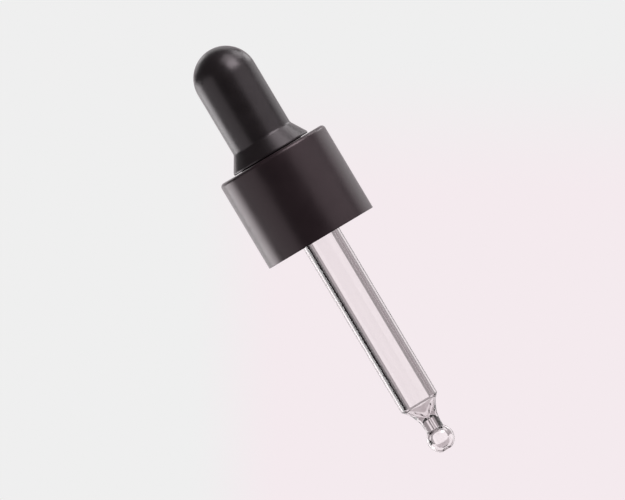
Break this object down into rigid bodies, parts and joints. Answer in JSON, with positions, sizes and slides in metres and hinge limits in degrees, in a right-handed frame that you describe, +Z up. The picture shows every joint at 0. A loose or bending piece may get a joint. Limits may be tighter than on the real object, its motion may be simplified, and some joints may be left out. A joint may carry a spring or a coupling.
{
  "type": "medicine dropper",
  "caption": "Dropper with a smooth screw cap, a domed rubber squeeze bulb that swivels in the cap, and a glass pipette with a ball tip.",
  "frame": {"origin": "on the axis, at the sealing plane: the underside of the bulb's flange, where the bottle's lip meets it", "axes": "+Z up along the axis, from the pipette's tip towards the bulb's dome; X through the two places that finger and thumb press"},
  "size_m": [0.0202, 0.0202, 0.078],
  "materials": {
    "black_plastic": "satin, finely grained",
    "black_rubber": "satin",
    "clear_glass": "clear, fire-polished at the ends"
  },
  "bodies": {
    "cap": {"screw_cap": "black_plastic"},
    "bulb": {"squeeze_bulb": "black_rubber", "glass_pipette": "clear_glass"},
    "finger_wall_left": {"bulb_finger_wall_left": "black_rubber"},
    "finger_wall_right": {"bulb_finger_wall_right": "black_rubber"}
  },
  "joints": [
    {"name": "cap_swivel", "type": "hinge", "parent": "cap", "child": "bulb", "pos_m": [0, 0, 0], "axis": [0, 0, 1], "continuous": true},
    {"name": "squeeze_right", "type": "slide", "parent": "bulb", "child": "finger_wall_right", "axis": [-1, 0, 0], "range_m": [0, 0.0024], "stiffness_N_per_m": 3300},
    {"name": "squeeze_left", "type": "slide", "parent": "bulb", "child": "finger_wall_left", "axis": [1, 0, 0], "range_m": [0, 0.0024], "stiffness_N_per_m": 3300}
  ],
  "couplings": [
    {"joint": "squeeze_left", "follows": "squeeze_right", "ratio": 1}
  ]
}
